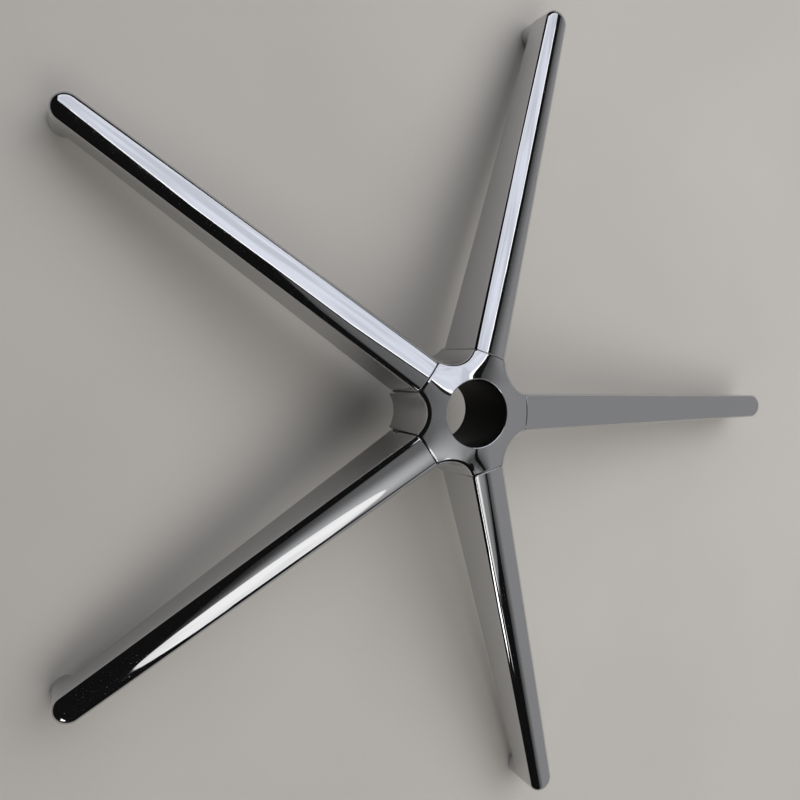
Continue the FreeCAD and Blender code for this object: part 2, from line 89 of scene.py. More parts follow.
class Wire:
    """An output socket of a material's node tree, on which Python's operators add Math nodes."""

    def __init__(self, tree: "Tree", socket: bpy.types.NodeSocket) -> None:
        """Wrap a socket.

        Args:
            tree: The tree that holds the socket.
            socket: The output socket.
        """
        self.tree = tree
        self.socket = socket

    def _math(self, operation: str, *values: "Value") -> "Wire":
        """Add a Math node.

        Args:
            operation: The Math node's operation.
            *values: Its inputs in order.

        Returns:
            The node's result.
        """
        return self.tree.node("ShaderNodeMath", {"operation": operation}, *values)

    def __add__(self, other: "Value") -> "Wire":
        """Sum."""
        return self._math("ADD", self, other)

    def __radd__(self, other: "Value") -> "Wire":
        """Sum with a number on the left."""
        return self._math("ADD", other, self)

    def __sub__(self, other: "Value") -> "Wire":
        """Difference."""
        return self._math("SUBTRACT", self, other)

    def __rsub__(self, other: "Value") -> "Wire":
        """Difference from a number on the left."""
        return self._math("SUBTRACT", other, self)

    def __mul__(self, other: "Value") -> "Wire":
        """Product."""
        return self._math("MULTIPLY", self, other)

    def __rmul__(self, other: "Value") -> "Wire":
        """Product with a number on the left."""
        return self._math("MULTIPLY", other, self)

    def __truediv__(self, other: "Value") -> "Wire":
        """Quotient."""
        return self._math("DIVIDE", self, other)

    def __rtruediv__(self, other: "Value") -> "Wire":
        """Quotient with a number on the left."""
        return self._math("DIVIDE", other, self)

    def __pow__(self, other: "Value") -> "Wire":
        """Power."""
        return self._math("POWER", self, other)

    def __rpow__(self, other: "Value") -> "Wire":
        """Power with a number on the left."""
        return self._math("POWER", other, self)

    def size(self) -> "Wire":
        """Absolute value."""
        return self._math("ABSOLUTE", self)

    def smaller(self, other: "Value") -> "Wire":
        """The smaller of two values."""
        return self._math("MINIMUM", self, other)

    def ramp(self, start: float, end: float) -> "Wire":
        """Rise smoothly from 0 at start to 1 at end.

        Args:
            start: Value that becomes 0.
            end: Value that becomes 1. It may be the lower one.

        Returns:
            The smoothed share.
        """
        return self.tree.node(
            "ShaderNodeMapRange",
            {"interpolation_type": "SMOOTHSTEP", "clamp": True},
            self, start, end, 0.0, 1.0,
        )


Value = Union[Wire, float, int, tuple, Vector]


class Tree:
    """The node tree of one material."""

    def __init__(self, name: str) -> None:
        """Make an empty material.

        Args:
            name: The material's name.
        """
        self.material = bpy.data.materials.new(name)
        self.material.use_nodes = True
        self.nodes = self.material.node_tree.nodes
        self.links = self.material.node_tree.links
        self.nodes.clear()

    def add(self, kind: str, settings: dict[str, object], *values: Value, **named: Value) -> bpy.types.Node:
        """Add a node.

        Args:
            kind: The node's type.
            settings: Properties, set before the sockets.
            *values: Inputs in order.
            **named: Inputs by name, with underscores for spaces.

        Returns:
            The node.
        """
        node = self.nodes.new(kind)
        for key, value in settings.items():
            setattr(node, key, value)
        sockets = [socket for socket in node.inputs if socket.enabled]
        pairs = list(zip(sockets, values))
        pairs += [(node.inputs[name.replace("_", " ")], value) for name, value in named.items()]
        for socket, value in pairs:
            if isinstance(value, Wire):
                self.links.new(value.socket, socket)
            else:
                socket.default_value = value
        return node

    def node(self, kind: str, settings: dict[str, object], *values: Value, **named: Value) -> Wire:
        """Add a node and wrap its first shown output."""
        made = self.add(kind, settings, *values, **named)
        return Wire(self, next(socket for socket in made.outputs if socket.enabled))

    def place(self) -> Wire:
        """Position in the row's frame, in metres."""
        return self.node("ShaderNodeNewGeometry", {})

    def normal(self) -> Wire:
        """The surface's direction."""
        return Wire(self, self.add("ShaderNodeNewGeometry", {}).outputs["True Normal"])

    def part(self, vector: Wire, axis: str) -> Wire:
        """One component of a vector."""
        return Wire(self, self.add("ShaderNodeSeparateXYZ", {}, vector).outputs[axis])

    def dot(self, first: Wire, second: Value) -> Wire:
        """Dot product of two vectors."""
        made = self.add("ShaderNodeVectorMath", {"operation": "DOT_PRODUCT"}, first, second)
        return Wire(self, made.outputs["Value"])

    def scaled(self, vector: Wire, factors: tuple[float, float, float]) -> Wire:
        """A vector with each component times its own factor."""
        return self.node("ShaderNodeVectorMath", {"operation": "MULTIPLY"}, vector, factors)

    def plan_gap(self, place: Wire, centre: tuple[float, float, float] = (0.0, 0.0, 0.0)) -> Wire:
        """Distance of a place from a centre, both seen from above."""
        flat = self.scaled(place, (1.0, 1.0, 0.0))
        reach = self.node("ShaderNodeVectorMath", {"operation": "SUBTRACT"}, flat, centre)
        return self.dot(reach, reach) ** 0.5

    def mix(self, share: Value, low: Value, high: Value) -> Wire:
        """Mix two colours.

        Args:
            share: Share of the second colour.
            low: First colour.
            high: Second colour.

        Returns:
            The mixed colour.
        """
        return self.node("ShaderNodeMix", {"data_type": "RGBA"}, share, low, high)

    def bump(self, height: Wire, strength: float, distance: float) -> Wire:
        """Turn a height into a normal.

        Args:
            height: Height from 0 to 1.
            strength: Share of the effect.
            distance: Height of a full step, in metres.

        Returns:
            The normal.
        """
        return self.node("ShaderNodeBump", {}, strength, distance, Height=height)

    def surface(self, **sockets: Value) -> bpy.types.Material:
        """Finish the material with a Principled shader.

        Args:
            **sockets: Inputs by name, with underscores for spaces.

        Returns:
            The material.
        """
        shader = self.node("ShaderNodeBsdfPrincipled", {}, **sockets)
        self.add("ShaderNodeOutputMaterial", {}, Surface=shader)
        return self.material


def grey(level: float, blue: float = 0.0) -> Colour:
    """An opaque grey with a slight blue cast."""
    return (level - blue, level - blue / 2, level + blue, 1.0)


@dataclass(frozen=True)
class Grain:
    """A noise pattern: its cells per metre, its octaves and the strength of the finer ones."""

    cells: float
    octaves: float
    rough: float = 0.5

    def value(self, tree: Tree, place: Wire) -> Wire:
        """The noise at a place, from 0 to 1."""
        sockets = (place, self.cells, self.octaves, self.rough)
        return tree.node("ShaderNodeTexNoise", {"noise_dimensions": "3D"}, *sockets)


@dataclass(frozen=True)
class Marks(Grain):
    """Marks that show where a noise pattern is high, and fade in over a span of it."""

    rise: Span = (0.4, 0.6)

    def share(self, tree: Tree, place: Wire) -> Wire:
        """Share of the marks at a place, from 0 to 1."""
        return self.value(tree, place).ramp(*self.rise)


@dataclass(frozen=True)
class CastMetal:
    """Mirror-polished casting whose hollow underside is left as it came from the die."""

    name: str
    polish: float = 0.03
    smudge: float = 0.05
    bright: Colour = grey(0.60, 0.006)
    raw: Colour = grey(0.34, 0.004)
    raw_rough: float = 0.38
    raw_grain: float = 0.2
    looks_down: Span = (0.25, 0.45)
    smears: Marks = Marks(38.0, 3.0, 0.55, rise=(0.48, 0.72))
    haze: Marks = Marks(9.0, 2.0, rise=(0.4, 0.8))
    dust: Marks = Marks(1900.0, 1.0, rise=(0.735, 0.775))
    dust_tone: Colour = grey(0.66)
    dust_share: float = 0.5
    dust_rough: float = 0.3
    wipes: Marks = Marks(1.0, 2.0, rise=(0.5, 0.8))
    wipe_cells: tuple[float, float, float] = (60.0, 340.0, 60.0)
    wipe_ripple: float = 0.12
    grain: Grain = Grain(1100.0, 3.0, 0.6)
    grain_ripple: float = 0.9
    ripple: Grain = Grain(45.0, 1.0)
    ripple_strength: float = 0.12
    ripple_depth: float = 0.2 * MM

    def inner(self, tree: Tree, place: Wire, normal: Wire) -> Wire:
        """Share of the unpolished finish.

        Args:
            tree: The material's tree.
            place: Position, which is not used here.
            normal: The surface's own direction.

        Returns:
            1 on faces that look down, and 0 on the polished skin.
        """
        return (tree.part(normal, "Z") * -1.0).ramp(*self.looks_down)

    def wiping(self, tree: Tree, place: Wire) -> Wire:
        """Coordinates of the wipe marks."""
        return tree.scaled(place, self.wipe_cells)

    def hidden(self, tree: Tree, place: Wire, inner: Wire) -> Wire:
        """Base colour of the finish, before dust."""
        return tree.mix(inner, self.bright, self.raw)

    def material(self) -> bpy.types.Material:
        """Build the finish.

        Returns:
            The material.
        """
        tree = Tree(self.name)
        place = tree.place()
        inner = self.inner(tree, place, tree.normal())
        haze = self.haze.share(tree, place)
        dust = self.dust.share(tree, place)
        grain = self.grain.value(tree, place)
        wiped = self.wipes.share(tree, self.wiping(tree, place)) * haze
        rough = self.polish + self.smears.share(tree, place) * haze * self.smudge + wiped * self.smudge
        rough = rough + dust * self.dust_rough + inner * (self.raw_rough + grain * self.raw_grain)
        ripple = self.ripple.value(tree, place) + wiped * self.wipe_ripple
        ripple = ripple + inner * grain * self.grain_ripple
        colour = tree.mix(dust * self.dust_share, self.hidden(tree, place, inner), self.dust_tone)
        return tree.surface(
            Base_Color=colour,
            Metallic=1.0,
            Roughness=rough,
            Normal=tree.bump(ripple, self.ripple_strength, self.ripple_depth),
        )


@dataclass(frozen=True)
class ArmMetal(CastMetal):
    """The finish of one arm, whose cavity walls face its own centre line."""

    turn: float = 0.0
    cavity_reach: float = 332.0 * MM
    cavity_end: float = 2.0 * MM
    wall_offset: Span = (0.2 * MM, 0.6 * MM)
    faces_along: Span = (0.6, 0.8)
    wipe_along: float = 16.0
    wipe_across: float = 700.0

    @property
    def along(self) -> tuple[float, float, float]:
        """The arm's own direction."""
        return (math.cos(self.turn), math.sin(self.turn), 0.0)

    @property
    def across(self) -> tuple[float, float, float]:
        """The level direction at right angles to the arm."""
        return (-math.sin(self.turn), math.cos(self.turn), 0.0)

    def inner(self, tree: Tree, place: Wire, normal: Wire) -> Wire:
        """Share of the unpolished finish inside the arm.

        Args:
            tree: The material's tree.
            place: Position.
            normal: The surface's own direction.

        Returns:
            1 in the arm's cavity, and 0 on the polished skin.
        """
        inward = tree.dot(place, self.across) * tree.dot(normal, self.across) * -1.0
        rib = tree.dot(normal, self.along).size().ramp(*self.faces_along)
        inside = tree.dot(place, self.along).ramp(self.cavity_reach, self.cavity_reach - self.cavity_end)
        walls = inward.ramp(*self.wall_offset) + rib
        return (super().inner(tree, place, normal) + walls * inside).smaller(1.0)

    def wiping(self, tree: Tree, place: Wire) -> Wire:
        """Coordinates of the wipe marks, which run along the arm."""
        along = tree.dot(place, self.along) * self.wipe_along
        across = tree.dot(place, self.across) * self.wipe_across
        return tree.node("ShaderNodeCombineXYZ", {}, along, across, 0.0)


@dataclass(frozen=True)
class HubMetal(CastMetal):
    """The finish of the hub, with its bore coloured near-black."""

    bore_radius: float = 25.02 * MM
    bore_top: float = 62.4 * MM
    bore_edge: float = 0.1 * MM
    bore_tone: Colour = grey(0.012)

    def bore(self, tree: Tree, place: Wire) -> Wire:
        """1 inside the bore, and 0 elsewhere."""
        within = tree.plan_gap(place).ramp(self.bore_radius + self.bore_edge, self.bore_radius)
        return within * tree.part(place, "Z").ramp(self.bore_top + 2 * self.bore_edge, self.bore_top)

    def inner(self, tree: Tree, place: Wire, normal: Wire) -> Wire:
        """Share of the unpolished finish, here also in the bore."""
        return (super().inner(tree, place, normal) + self.bore(tree, place)).smaller(1.0)

    def hidden(self, tree: Tree, place: Wire, inner: Wire) -> Wire:
        """Base colour of the finish with the dark bore."""
        return tree.mix(self.bore(tree, place), super().hidden(tree, place, inner), self.bore_tone)


@dataclass(frozen=True)
class ScrewSteel:
    """Zinc-plated socket screws."""

    name: str = "screw_steel"
    dark: Colour = grey(0.42, 0.01)
    light: Colour = grey(0.58, 0.012)
    grain: Grain = Grain(900.0, 3.0)
    polish: float = 0.26
    grain_rough: float = 0.16
    grain_strength: float = 0.3
    grain_depth: float = 0.05 * MM

    def material(self) -> bpy.types.Material:
        """Build the finish.

        Returns:
            The material.
        """
        tree = Tree(self.name)
        grain = self.grain.value(tree, tree.place())
        return tree.surface(
            Base_Color=tree.mix(grain, self.dark, self.light),
            Metallic=1.0,
            Roughness=self.polish + grain * self.grain_rough,
            Normal=tree.bump(grain, self.grain_strength, self.grain_depth),
        )


@dataclass(frozen=True)
class PaleFloor:
    """A smooth, pale warm-grey floor."""

    name: str = "pale_floor"
    dark: Colour = (0.50, 0.472, 0.434, 1.0)
    light: Colour = (0.54, 0.512, 0.47, 1.0)
    clouds: Marks = Marks(3.0, 3.0, rise=(0.3, 0.7))
    grain: Grain = Grain(420.0, 3.0)
    rough: float = 0.62
    grain_rough: float = 0.12
    grain_strength: float = 0.12
    grain_depth: float = 0.4 * MM

    def material(self) -> bpy.types.Material:
        """Build the finish.

        Returns:
            The material.
        """
        tree = Tree(self.name)
        place = tree.place()
        grain = self.grain.value(tree, place)
        return tree.surface(
            Base_Color=tree.mix(self.clouds.share(tree, place), self.dark, self.light),
            Roughness=self.rough + grain * self.grain_rough,
            Normal=tree.bump(grain, self.grain_strength, self.grain_depth),
        )


@dataclass(frozen=True)
class Glow:
    """Light of a panel over the base, even or a little cloudy."""

    name: str
    strength: float
    colour: tuple[float, float, float] = (1.0, 1.0, 1.0)
    dimming: float = 0.0
    clouds: Marks = Marks(2.3, 2.0, rise=(0.35, 0.65))

    def light(self, tree: Tree) -> Value:
        """Colour of the emitted light."""
        full = (*self.colour, 1.0)
        if not self.dimming:
            return full
        dim = (*(part * (1 - self.dimming) for part in self.colour), 1.0)
        return tree.mix(self.clouds.share(tree, tree.place()), dim, full)

    def material(self) -> bpy.types.Material:
        """Build the emitter.

        Returns:
            The material.
        """
        tree = Tree(self.name)
        return tree.surface(
            Base_Color=grey(0.0),
            Roughness=1.0,
            Specular_IOR_Level=0.0,
            Emission_Color=self.light(tree),
            Emission_Strength=self.strength,
        )


@dataclass(frozen=True)
class RoomGlow(Glow):
    """The room over the base: dim on the left and by window and door, bright round the lamp."""

    left: float = 0.17
    right: float = 0.34
    brightening: Span = (-0.2, 0.75)
    corner: float = 0.2
    corner_edge: Span = (-0.62, -0.22)
    halo: float = 0.45
    halo_centre: tuple[float, float, float] = (0.06, -1.15, 0.0)
    halo_reach: Span = (0.85, 0.2)
    window_centre: tuple[float, float, float] = (-1.01, 3.11, 0.0)
    window_bend: float = 3.08
    window_soft: float = 0.08
    window_spread: float = 0.28
    window_dimming: float = 0.75
    window_side: Span = (0.45, 1.0)
    window_gap: Span = (0.4, 1.6)
    door_place: Span = (1.15, -1.0)
    door_facing: Span = (0.935, 0.354)
    door_dimming: float = 0.7
    door_side: Span = (0.9, 1.1)
    door_ahead: Span = (-0.85, -1.15)
    door_soft: float = 0.5
    tint: Colour = (0.985, 0.99, 1.0, 1.0)

    def light(self, tree: Tree) -> Value:
        """Colour of the emitted light.

        Args:
            tree: The emitter's tree.

        Returns:
            A grey that changes softly over the room.
        """
        place = tree.place()
        across, ahead = tree.part(place, "X"), tree.part(place, "Y")
        open_room = across.ramp(*self.corner_edge)
        level = self.left + across.ramp(*self.brightening) * (self.right - self.left)
        level = level * (self.corner + open_room * (1 - self.corner))

        beyond = tree.plan_gap(place, self.window_centre) - self.window_bend
        beyond = beyond / (across.size() * self.window_spread + self.window_soft)
        near_window = 1.0 - beyond.ramp(*self.window_gap)
        level = level * (1.0 - across.ramp(*self.window_side) * near_window * self.window_dimming)

        reach = (across - self.door_place[0]) * self.door_facing[0]
        reach = reach + (ahead - self.door_place[1]) * self.door_facing[1]
        near_door = ahead.ramp(*self.door_ahead) * (1.0 - reach.ramp(0.0, self.door_soft))
        level = level * (1.0 - near_door * across.ramp(*self.door_side) * self.door_dimming)

        halo = tree.plan_gap(place, self.halo_centre).ramp(*self.halo_reach)
        return tree.mix(level + halo * open_room * self.halo, grey(0.0), self.tint)


def add_object(name: str, data: bpy.types.ID) -> bpy.types.Object:
    """Put an object into the scene."""
    made = bpy.data.objects.new(name, data)
    bpy.context.scene.collection.objects.link(made)
    return made


def flat_plate(name: str, outline: Outline, height: float) -> bpy.types.Object:
    """Put a level plate into the scene, one face without thickness."""
    mesh = bpy.data.meshes.new(name)
    mesh.from_pydata([(x, y, height) for x, y in outline], [], [tuple(range(len(outline)))])
    return add_object(name, mesh)


def dress(piece: bpy.types.Object, material: bpy.types.Material) -> None:
    """Give a piece one material on every face."""
    piece.data.materials.clear()
    piece.data.materials.append(material)


class Skin:
    """Collects faces with a direction at each corner and turns them into a mesh."""

    def __init__(self) -> None:
        """Start empty."""
        self.points: list[Vector] = []
        self.faces: list[tuple[int, ...]] = []
        self.normals: list[Vector] = []

    def face(self, corners: list[Corner]) -> None:
        """Add a face.

        Args:
            corners: Point and normal of each corner, in order.
        """
        start = len(self.points)
        self.points += [point for point, _ in corners]
        self.normals += [normal for _, normal in corners]
        self.faces.append(tuple(range(start, start + len(corners))))

    def grid(self, rows: Rows) -> None:
        """Join rows of corners with quads.

        Args:
            rows: Rows of equal length.
        """
        start = len(self.points)
        width = len(rows[0])
        self.points += [point for row in rows for point, _ in row]
        flat = [normal for row in rows for _, normal in row]
        for high in range(len(rows) - 1):
            for left in range(width - 1):
                corner = high * width + left
                ring = (corner, corner + width, corner + width + 1, corner + 1)
                self.faces.append(tuple(start + index for index in ring))
                self.normals += [flat[index] for index in ring]

    def keep(self, solid: bpy.types.Object, wanted: Callable[[list[Vector], Vector], bool]) -> None:
        """Copy faces of a solid, with the normals they have.

        Args:
            solid: The solid.
            wanted: Says from a face's corners and normal whether it is copied.
        """
        mesh = solid.data
        placed = [solid.matrix_world @ vertex.co for vertex in mesh.vertices]
        spin = solid.matrix_world.to_3x3()
        for polygon in mesh.polygons:
            corners = [placed[index] for index in polygon.vertices]
            if wanted(corners, spin @ polygon.normal):
                normals = [
                    (spin @ mesh.corner_normals[index].vector).normalized()
                    for index in polygon.loop_indices
                ]
                self.face(list(zip(corners, normals)))

    def build(self, name: str) -> bpy.types.Object:
        """Make the object.

        Args:
            name: The object's name.

        Returns:
            The object, linked to the scene.
        """
        mesh = bpy.data.meshes.new(name)
        mesh.from_pydata([tuple(point) for point in self.points], [], self.faces)
        mesh.polygons.foreach_set("use_smooth", [True] * len(mesh.polygons))
        mesh.normals_split_custom_set([tuple(normal) for normal in self.normals])
        return add_object(name, mesh)


def toward(turn: float) -> Vector:
    """Level direction at an angle from +X."""
    return Vector((math.cos(turn), math.sin(turn), 0.0))


def moved(rows: Rows, spin: Matrix, shift: Vector = Vector((0.0, 0.0, 0.0))) -> Rows:
    """Turn rows of corners about the origin, then shift them."""
    return [[(spin @ point + shift, spin @ normal) for point, normal in row] for row in rows]


@dataclass(frozen=True)
class Rounding:
    """An edge rounding: a wide bend near the first line and a tighter one towards the second."""

    wide: float
    tight: float
    change: float = math.radians(48)

    def points(self, high: Vector, low: Vector, corner: Vector, steps: int) -> list[Corner]:
        """Round the edge between two straight lines in a plane.

        Args:
            high: Unit normal of the first line, in the plane.
            low: Unit normal of the second line, in the plane.
            corner: The sharp corner.
            steps: Number of steps along the rounding.

        Returns:
            Its points, each with its normal.
        """
        first, last = math.atan2(high.y, high.x), math.atan2(low.y, low.x)
        turns = [first + (last - first) * step / steps for step in range(steps + 1)]
        normals = [Vector((math.cos(turn), math.sin(turn))) for turn in turns]
        spots = [Vector((0.0, 0.0))]
        for one, other in zip(normals, normals[1:]):
            lying = abs(math.atan2(one.x + other.x, one.y + other.y)) < self.change
            spots.append(spots[-1] + (other - one) * (self.wide if lying else self.tight))
        run = Vector((high.y, -high.x))
        start = corner - run * (spots[-1].dot(low) / run.dot(low))
        return [(start + spot, normal) for spot, normal in zip(spots, normals)]


@dataclass(frozen=True)
class HubForm:
    """Form of the hub's outer skin: the cone that grows into the arms' crowns, and its hollows."""

    rim_radius: float = 25.0 * MM
    rim_height: float = 63.3 * MM
    rim_round: Rounding = Rounding(0.8 * MM, 0.8 * MM)
    bore_lean: float = 0.7 / 51.3
    slope: float = SLOPE
    seam: float = SEAM
    skirt: float = 8.7 * MM
    top_centre: float = 59.5 * MM
    top_radius: float = 21.0 * MM
    low_centre: float = 68.1 * MM
    low_radius: float = 24.7 * MM
    edge_round: Rounding = Rounding(5.2 * MM, 2.6 * MM)
    edge_reach: float = 4.2 * MM
    probe: float = 0.4
    crown_radius: float = CROWN_RADIUS
    seam_bevel: float = 1.4 * MM
    bevel_turn: float = math.radians(10)
    bevel_start: float = 0.2
    bevel_share: float = 0.75
    last_turn: float = math.radians(70)
    last_drop: float = 0.35 * MM
    stub_half_width: float = 12.0 * MM
    fade: float = 4.0 * MM
    settling: int = 4

    def height(self, x: float, y: float) -> float:
        """Height of the top over a point.

        Args:
            x: Place along +X.
            y: Place along +Y.

        Returns:
            The height.
        """
        radius, turn = math.hypot(x, y), math.atan2(y, x)
        off = turn - STEP_ANGLE * round(turn / STEP_ANGLE)
        along, aside = radius * math.cos(off), radius * math.sin(off)
        share = min(max((along - self.rim_radius) / (self.seam - self.rim_radius), 0.0), 1.0) ** 2
        past = abs(aside) - self.stub_half_width
        if past > 0:
            aside = self.stub_half_width + self.fade * (1 - math.exp(-past / self.fade))
        fall = math.tan(self.slope)
        cone = fall * (radius - self.rim_radius)
        drop = self.crown_radius - math.sqrt(self.crown_radius ** 2 - aside ** 2)
        crown = fall * (math.hypot(along, aside) - along) - drop / math.cos(self.slope)
        return self.rim_height - cone + crown * share

    def top(self, x: float, y: float) -> Corner:
        """Point and normal of the top over a place."""
        step = 0.01 * MM
        slope_x = (self.height(x + step, y) - self.height(x - step, y)) / (2 * step)
        slope_y = (self.height(x, y + step) - self.height(x, y - step)) / (2 * step)
        return Vector((x, y, self.height(x, y))), Vector((-slope_x, -slope_y, 1)).normalized()

    def hollow(self, height: float) -> tuple[float, float]:
        """Distance of a hollow's centre and its radius at a height."""
        share = (height - self.skirt) / (self.rim_height - self.skirt)
        centre = self.low_centre + (self.top_centre - self.low_centre) * share
        return centre, self.low_radius + (self.top_radius - self.low_radius) * share

    def widest(self, height: float, gap: float) -> float:
        """Angle, seen from a hollow's centre, at which a line at a gap from it meets a seam."""
        centre, radius = self.hollow(height)
        return math.acos((centre * math.cos(HALF_ANGLE) - self.seam) / (radius + gap)) - HALF_ANGLE

    def beside(self, share: float, height: float, gap: float) -> tuple[Vector, Vector]:
        """A place beside a hollow that opens along +X.

        Args:
            share: From -1 at one seam to 1 at the other.
            height: The place's height.
            gap: Distance from the hollow's wall.

        Returns:
            The place, and the direction away from the hollow's centre.
        """
        centre, radius = self.hollow(height)
        angle = share * self.widest(height, gap)
        away = Vector((-math.cos(angle), math.sin(angle), 0.0))
        return Vector((centre, 0.0, height)) + away * (radius + gap), away

    def edge(self, share: float, steps: int) -> list[Corner]:
        """Rounded edge between the top and a hollow that opens along +X.

        Args:
            share: From -1 at one seam to 1 at the other.
            steps: Number of steps along the rounding.

        Returns:
            Its points from the top to the wall, with their normals.
        """
        height = self.rim_height
        for _ in range(self.settling):
            corner, away = self.beside(share, height, 0.0)
            height = self.height(*(HALF_SPIN @ corner).xy)
        reaches = [(1 - self.probe) * self.edge_reach, (1 + self.probe) * self.edge_reach]
        places = [HALF_SPIN @ (corner + away * reach) for reach in reaches]
        (near, normal), (far, _) = [self.top(place.x, place.y) for place in places]
        rise = (far.z - near.z) / (reaches[1] - reaches[0])
        base = near.z - rise * reaches[0]
        lean = (self.low_centre - self.top_centre) * -away.x - (self.low_radius - self.top_radius)
        lean /= self.rim_height - self.skirt
        high = Vector((-rise, 1.0)).normalized()
        low = Vector((-1.0, lean)).normalized()
        arc = self.edge_round.points(high, low, Vector((0.0, base)), steps)
        side = Vector((-away.y, away.x, 0.0))
        tilt = (HALF_SPIN.inverted() @ normal).dot(side)
        corners = []
        for step, (spot, facing) in enumerate(arc):
            wall = lean * (spot.y - base)
            place, away = self.beside(share, spot.y, spot.x - wall)
            fade = tilt * (1 - step / steps)
            corners.append((place, (away * facing.x + Vector((0, 0, facing.y)) + side * fade).normalized()))
        return corners

    def rim(self, steps: int) -> list[Corner]:
        """Rounded edge between the top and the bore: radius and height, with normals."""
        high = Vector((math.sin(self.slope), math.cos(self.slope)))
        low = Vector((-1.0, self.bore_lean)).normalized()
        return self.rim_round.points(high, low, Vector((self.rim_radius, self.rim_height)), steps)

    def eased(self, corner: Corner) -> Corner:
        """Round a corner point of the skin over towards the nearest seam."""
        point, normal = corner
        outward = toward(STEP_ANGLE * round(math.atan2(point.y, point.x) / STEP_ANGLE))
        past = min(point.dot(outward) - self.seam + self.seam_bevel, self.seam_bevel)
        if past <= 0:
            return corner
        start = min(past / (self.bevel_start * self.seam_bevel), 1.0)
        last = max(past / self.seam_bevel - self.bevel_share, 0.0) / (1 - self.bevel_share)
        turn = self.bevel_turn * start + self.last_turn * last ** 2
        depth = past * math.tan(self.bevel_turn) + self.last_drop * last ** 2
        return point - normal * depth, (normal * math.cos(turn) + outward * math.sin(turn)).normalized()


def closing(ends: int, middle: int, near: float) -> list[float]:
    """Shares from 0 to 1, in even steps up to a near point and then closing up on 1.

    Args:
        ends: Number of steps that close up.
        middle: Number of even steps.
        near: Share at which the steps start to close up.

    Returns:
        The shares.
    """
    even = [near * step / middle for step in range(middle)]
    quarter = math.pi / 2
    return even + [1 - (1 - near) * (1 - math.sin(quarter * step / ends)) for step in range(ends + 1)]


